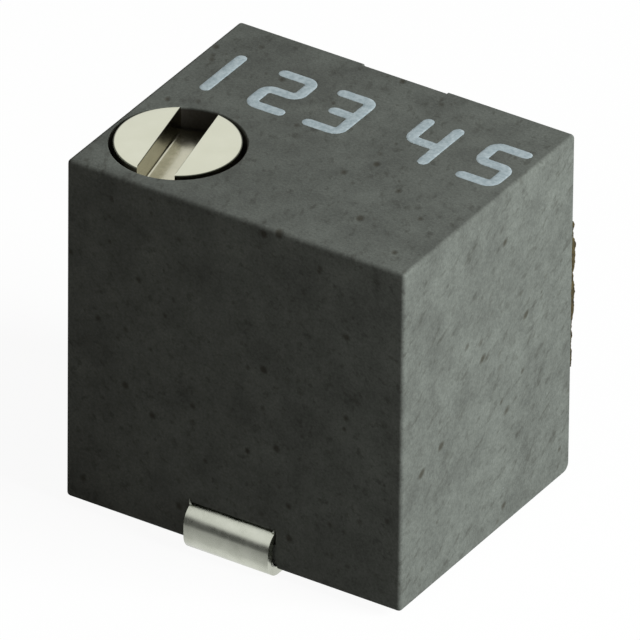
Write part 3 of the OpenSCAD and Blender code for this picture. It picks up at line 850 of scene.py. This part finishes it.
def build_resin():
    steps = RESIN_STEPS
    shares = [(1 - math.cos(math.pi * k / steps)) / 2 for k in range(steps + 1)]
    bm = bmesh.new()
    near, far = [], []
    for v in shares:
        z = open_z0 + (open_z1 - open_z0) * v
        near.append([])
        far.append([])
        for u in shares:
            x = -open_half_w + 2 * open_half_w * u
            near[-1].append(bm.verts.new((x, plate_y + RESIN_GAP, z)))
            far[-1].append(bm.verts.new((x, resin_surface(x, z), z)))
    for j in range(steps):
        for i in range(steps):
            bm.faces.new((far[j][i], far[j][i + 1], far[j + 1][i + 1], far[j + 1][i]))
    border = [(0, i) for i in range(steps)] + [(j, steps) for j in range(steps)]
    border += [(steps, i) for i in range(steps, 0, -1)] + [(j, 0) for j in range(steps, 0, -1)]
    for k, (j, i) in enumerate(border):
        m, n = border[(k + 1) % len(border)]
        bm.faces.new((near[j][i], near[m][n], far[m][n], far[j][i]))
    bm.faces.new([near[j][i] for j, i in border])
    bmesh.ops.delete(bm, geom=[v for v in bm.verts if not v.link_faces], context="VERTS")
    return new_object("resin_fill", bm)


resin_piece = build_resin()
copies = [in_scene("cutter", piece.data.copy()) for piece in terminal_pieces.values()]
combine(resin_piece, copies, "DIFFERENCE")
finish_piece(resin_piece, "case", ["epoxy_seal"], [resin_finish], sharp=50)
for node, piece in terminal_pieces.items():
    finish_piece(piece, "case", [node], [finish["tin_plated_strip"]])

# %% [markdown]
# ## Resin that ran over the edge
# A thin rough bead of resin clings to the right rear edge. It follows a path, so Geometry Nodes make it
# better than mesh code: a tube along a line, thicker and thinner by a slow noise and pushed in and out
# along its normals by a fine one. Sculpting would look as good, but couldn't be repeated or changed by a
# number.

# %% Helpers for Geometry Nodes
def new_group(name, labels):
    """A Geometry Nodes tree with named number inputs, its start node and the inputs' identifiers."""
    tree = bpy.data.node_groups.new(name, "GeometryNodeTree")
    tree.interface.new_socket("Geometry", in_out="INPUT", socket_type="NodeSocketGeometry")
    tree.interface.new_socket("Geometry", in_out="OUTPUT", socket_type="NodeSocketGeometry")
    names = {}
    for label in labels:
        socket = tree.interface.new_socket(label, in_out="INPUT", socket_type="NodeSocketFloat")
        names[label] = socket.identifier
    return tree, add(tree, "NodeGroupInput"), names


def close_group(tree, source, material):
    """End the tree with real geometry that wears the material."""
    real = add(tree, "GeometryNodeRealizeInstances", {"Geometry": source})
    dressed = add(tree, "GeometryNodeSetMaterial", {"Geometry": (real, "Geometry"), "Material": material})
    add(tree, "NodeGroupOutput", {"Geometry": (dressed, "Geometry")})


def poly_curve(name, strokes):
    """A curve object with one straight-sided spline for each stroke."""
    data = bpy.data.curves.new(name, "CURVE")
    data.dimensions = "3D"
    for points in strokes:
        spline = data.splines.new("POLY")
        spline.points.add(len(points) - 1)
        for point, place in zip(spline.points, points):
            point.co = (*place, 1)
    return in_scene(name, data)


def grow(obj, group, values, name):
    """What a group's tree makes of the object, as a plain mesh object."""
    tree, names = group
    modifier = obj.modifiers.new("grow", "NODES")
    modifier.node_group = tree
    for label, value in values.items():
        modifier[names[label]] = value
    mesh = modified_mesh(obj)
    bpy.data.objects.remove(obj)
    bm = bmesh.new()
    bm.from_mesh(mesh)
    bpy.data.meshes.remove(mesh)
    return new_object(name, bm)


print("helpers:", [f.__name__ for f in (new_group, close_group, poly_curve, grow)])


# %% Build the bead
BEAD_FROM = 1.94
BEAD_TO = 4.66
BEAD_INSET = 0.05
BEAD_BACK = 0.005
SIDE_MARGIN = 0.001
UNLIMITED = 100.0


def bead_tree():
    tree, start, names = new_group("rough_bead", ["Radius", "Roughness", "Lump size", "Side limit"])
    dense = add(tree, "GeometryNodeResampleCurve", {"Curve": (start, "Geometry"), "Count": 160})
    runs = add(tree, "ShaderNodeTexNoise", {"Scale": 1.3, "Detail": 1.0})
    swell = spread(tree, (runs, "Fac"), 0.38, 0.62, 0.5, 1.3)
    ring = add(tree, "GeometryNodeCurvePrimitiveCircle", {"Resolution": 14, "Radius": (start, "Radius")})
    tube = add(tree, "GeometryNodeCurveToMesh", {"Curve": (dense, "Curve"), "Profile Curve": (ring, "Curve"),
                                                 "Scale": swell, "Fill Caps": True})
    scale = calc(tree, "DIVIDE", 1.0, (start, "Lump size"))
    lumps = add(tree, "ShaderNodeTexNoise", {"Scale": scale, "Detail": 4.0, "Roughness": 0.65})
    swing = calc(tree, "SUBTRACT", (lumps, "Fac"), 0.5)
    push = calc(tree, "MULTIPLY", swing, (start, "Roughness"))
    normal = add(tree, "GeometryNodeInputNormal")
    offset = vector_calc(tree, "SCALE", {0: (normal, "Normal"), "Scale": push})
    place = add(tree, "GeometryNodeInputPosition")
    pushed = vector_calc(tree, "ADD", {0: (place, "Position"), 1: offset})
    wall = add(tree, "ShaderNodeCombineXYZ", {"X": (start, "Side limit"), "Y": UNLIMITED, "Z": UNLIMITED})
    kept = vector_calc(tree, "MINIMUM", {0: pushed, 1: (wall, "Vector")})
    moved = add(tree, "GeometryNodeSetPosition", {"Geometry": (tube, "Mesh"), "Position": kept})
    close_group(tree, (moved, "Geometry"), finish["crumbled_epoxy"])
    return tree, names


bead_line = poly_curve("bead_line", [[(case_high.x - BEAD_INSET, rear_y + BEAD_BACK, bottom_z + z)
                                      for z in (BEAD_FROM, BEAD_TO)]])
bead = grow(bead_line, bead_tree(), {"Radius": 0.05, "Roughness": 0.14, "Lump size": 0.22,
                                     "Side limit": case_high.x - SIDE_MARGIN}, "resin_bead")
finish_piece(bead, "case", [], [finish["crumbled_epoxy"]], sharp=60)

# %% [markdown]
# ## Marking
# The top carries printed figures in a round-ended stroke face. The figures here are plain ones. A text
# object would need a font file with such ends, so each figure is a few straight strokes on a small grid.
# Geometry Nodes round their corners, sweep a circle along them, put a ball on each end and flatten the lot
# to a film of ink.

# %% Build the marking
GLYPH_W = 0.56
GLYPH_H = 1.05
GLYPHS = {
    "1": [[(0.5, 0), (0.5, 1)]],
    "2": [[(0, 1), (1, 1), (1, 0.5), (0, 0.5), (0, 0), (1, 0)]],
    "3": [[(0, 1), (1, 1), (1, 0), (0, 0)], [(0.3, 0.5), (1, 0.5)]],
    "4": [[(0, 1), (0, 0.45), (1, 0.45)], [(1, 1), (1, 0)]],
    "5": [[(1, 1), (0, 1), (0, 0.5), (1, 0.5), (1, 0), (0, 0)]],
}
# Each figure with the middle of its place, in millimetres from the left side.
FIGURES = [("1", 0.65), ("2", 1.765), ("3", 2.87), ("4", 4.48), ("5", 5.76)]
MARK_FRONT = 2.97
STROKE = 0.2
STROKE_CORNER = 0.14
INK_RISE = 0.005
# The balls are smaller than the strokes and turned, so that the union finds no shared edges.
BALL_SHARE = 0.99
BALL_TURN = 0.1


def marking_strokes():
    for figure, middle in FIGURES:
        for stroke in GLYPHS[figure]:
            yield [(case_low.x + middle + (u - 0.5) * GLYPH_W,
                    front_y + MARK_FRONT + STROKE / 2 + v * GLYPH_H, 0) for u, v in stroke]


def ink_tree():
    tree, start, names = new_group("ink_strokes", ["Stroke", "Corner", "Height", "Rise"])
    half = calc(tree, "MULTIPLY", (start, "Stroke"), 0.5)
    rounded = add(tree, "GeometryNodeFilletCurve", {
        "Curve": (start, "Geometry"), "Radius": (start, "Corner"), "Count": 8, "Limit Radius": True},
        mode="POLY")
    ring = add(tree, "GeometryNodeCurvePrimitiveCircle", {"Resolution": 16, "Radius": half})
    tubes = add(tree, "GeometryNodeCurveToMesh", {
        "Curve": (rounded, "Curve"), "Profile Curve": (ring, "Curve"), "Fill Caps": True})
    inner = calc(tree, "MULTIPLY", half, BALL_SHARE)
    ball = add(tree, "GeometryNodeMeshUVSphere", {"Segments": 16, "Rings": 8, "Radius": inner})
    ends = add(tree, "GeometryNodeCurveEndpointSelection", {"Start Size": 1, "End Size": 1})
    balls = add(tree, "GeometryNodeInstanceOnPoints", {
        "Points": (start, "Geometry"), "Selection": (ends, "Selection"), "Instance": (ball, "Mesh"),
        "Rotation": (0, 0, BALL_TURN)})
    loose = add(tree, "GeometryNodeRealizeInstances", {"Geometry": (balls, "Instances")})
    joined = add(tree, "GeometryNodeMeshBoolean", {"Self Intersection": True}, operation="UNION",
                 solver="EXACT")
    tree.links.new(tubes.outputs["Mesh"], joined.inputs["Mesh 2"])
    tree.links.new(loose.outputs["Geometry"], joined.inputs["Mesh 2"])
    squeeze = calc(tree, "DIVIDE", (start, "Rise"), half)
    scale = add(tree, "ShaderNodeCombineXYZ", {"X": 1.0, "Y": 1.0, "Z": squeeze})
    lift = add(tree, "ShaderNodeCombineXYZ", {"Z": (start, "Height")})
    flat = add(tree, "GeometryNodeTransform", {
        "Geometry": (joined, "Mesh"), "Scale": (scale, "Vector"), "Translation": (lift, "Vector")})
    close_group(tree, (flat, "Geometry"), finish["marking_ink"])
    return tree, names


marking = grow(poly_curve("strokes", list(marking_strokes())), ink_tree(),
               {"Stroke": STROKE, "Corner": STROKE_CORNER, "Height": top_z, "Rise": INK_RISE},
               "printed_figures")
finish_piece(marking, "case", [], [finish["marking_ink"]], sharp=60)

# %% [markdown]
# ## Pieces inside
# The ring, clip, gear, wiper, ceramic plate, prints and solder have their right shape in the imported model.
# Nobody could see finer copies in the closed housing, so these keep their meshes and get only a finish.

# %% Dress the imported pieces
INSIDE = {
    "o_ring": "silicone_rubber", "screw_clip": "phosphor_bronze", "worm_gear": "moulded_nylon",
    "wiper": "gold_alloy_spring", "substrate": "alumina_ceramic", "resistive_track": "cermet_ink",
    "collector_print": "fired_silver", "end_pad_1": "fired_silver", "end_pad_3": "fired_silver",
    "solder_1": "solder_alloy", "solder_2": "solder_alloy", "solder_3": "solder_alloy",
}
for node, name in INSIDE.items():
    obj = frame["nodes"][node]
    if not obj.material_slots:
        obj.data.materials.append(finish[name])
    for material_slot in obj.material_slots:
        material_slot.material = finish[name]
print("dressed", len(INSIDE), "packed pieces")

# %% [markdown]
# ## Studio
# The photograph's ground is pure white with almost no shadow. The floor is white paper to the camera, while
# it passes on little light, so that the front stays dark as it is in the photograph. In reflections it
# glows only near the part and darkens away from it: with the room's dark horizon that draws the dark band
# across the front terminal. A real tent of card could be built and lit, but it would take many lamps and a
# noisy render.

# %% Floor
FLOOR_HALF = 0.6
GLOW_SHARE = 0.94
GLOW_NEAR = 0.0028
GLOW_FAR = 0.0041
GLOW_BRIGHT = 0.98
GLOW_DIM = 0.08


def ray_kinds(tree):
    """The kind of ray as a node, 1 for rays off or through a surface, and 1 for those and the camera's."""
    path = add(tree, "ShaderNodeLightPath")
    bounced = calc(tree, "MAXIMUM", (path, "Is Glossy Ray"), (path, "Is Transmission Ray"))
    return path, bounced, calc(tree, "MAXIMUM", bounced, (path, "Is Camera Ray"))


def white_paper():
    material, tree = new_tree("white_paper")
    path, _, seen = ray_kinds(tree)
    diffuse = add(tree, "ShaderNodeBsdfDiffuse", {"Color": mix(tree, seen, "#9a9a98", "#f4f4f2")})
    away = (vector_calc(tree, "LENGTH", {0: object_place(tree)})[0], "Value")
    fall = spread(tree, away, GLOW_NEAR, GLOW_FAR, GLOW_BRIGHT, GLOW_DIM)
    level = add(tree, "ShaderNodeMix", {"Factor": (path, "Is Glossy Ray"), "A": 1.0, "B": fall})
    glow = add(tree, "ShaderNodeEmission", {"Color": (1, 1, 1, 1), "Strength": (level, "Result")})
    share = calc(tree, "MULTIPLY", seen, GLOW_SHARE)
    both = add(tree, "ShaderNodeMixShader", {"Fac": share, 1: (diffuse, "BSDF"), 2: (glow, "Emission")})
    add(tree, "ShaderNodeOutputMaterial", {"Surface": (both, "Shader")})
    return material


bm = bmesh.new()
bmesh.ops.create_grid(bm, x_segments=1, y_segments=1, size=FLOOR_HALF)
floor = new_object("floor", bm)
floor.data.materials.append(white_paper())
print("floor", 2 * FLOOR_HALF, "m wide")

# %% [markdown]
# The world is what the metal mirrors and what fills the shadows. The camera sees plain white. Metal sees a
# white room that darkens towards the horizon, which gives its curves dark edges. Everything else gets a
# little warm light from all sides, so the front is dim and not black.

# %% World
AMBIENT = 0.13
HORIZON_LEVEL = 0.1
ROOM_DARK_Z = 0.12
ROOM_WHITE_Z = 0.42
WARM = (1.0, 0.88, 0.78, 1)


def studio_world():
    world = bpy.data.worlds.new("studio")
    world.use_nodes = True
    tree = world.node_tree
    tree.nodes.clear()
    path, bounced, seen = ray_kinds(tree)
    direction = add(tree, "ShaderNodeTexCoord")
    height = add(tree, "ShaderNodeSeparateXYZ", {"Vector": (direction, "Generated")})
    room = spread(tree, (height, "Z"), ROOM_DARK_Z, ROOM_WHITE_Z, HORIZON_LEVEL, 1.0)
    reflected = add(tree, "ShaderNodeMix", {"Factor": bounced, "A": AMBIENT, "B": room})
    level = calc(tree, "MAXIMUM", (reflected, "Result"), (path, "Is Camera Ray"))
    tint = mix(tree, seen, WARM, (1.0, 1.0, 1.0, 1))
    glow = add(tree, "ShaderNodeBackground", {"Color": tint, "Strength": level})
    add(tree, "ShaderNodeOutputWorld", {"Surface": (glow, "Background")})
    return world


bpy.context.scene.world = studio_world()
print("light from all sides", AMBIENT, "and from the horizon", HORIZON_LEVEL)

# %% [markdown]
# One broad soft lamp on the right gives the bright side and, at a low angle, the mid-grey top. A sun lamp
# would do for the level but not for the soft turn of light over the rounded edges. The lamp doesn't show in
# reflections: the metal would mirror it as a patch of clipped white.

# %% Lamp
def soft_lamp(name, towards, distance, size, level, tint):
    """An area lamp that lights a surface facing it at a level: at 1 a colour renders as written."""
    data = bpy.data.lights.new(name, "AREA")
    data.color = tint
    data.shape = "SQUARE"
    data.size = size
    data.energy = level * math.pi ** 2 * distance ** 2
    lamp = in_scene(name, data)
    direction = Vector(towards).normalized()
    lamp.location = direction * distance
    lamp.rotation_euler = direction.to_track_quat("Z", "Y").to_euler()
    lamp.visible_glossy = False
    print(name, "lamp", round(data.energy, 3), "W")


soft_lamp("key", towards=(0.93, 0.12, 0.42), distance=0.3, size=0.16, level=2.45, tint=(0.95, 0.99, 1.0))

# %% [markdown]
# The Standard view shows colours as they are written, while the default one would bend them like film.

# %% View settings
bpy.context.scene.view_settings.view_transform = "Standard"
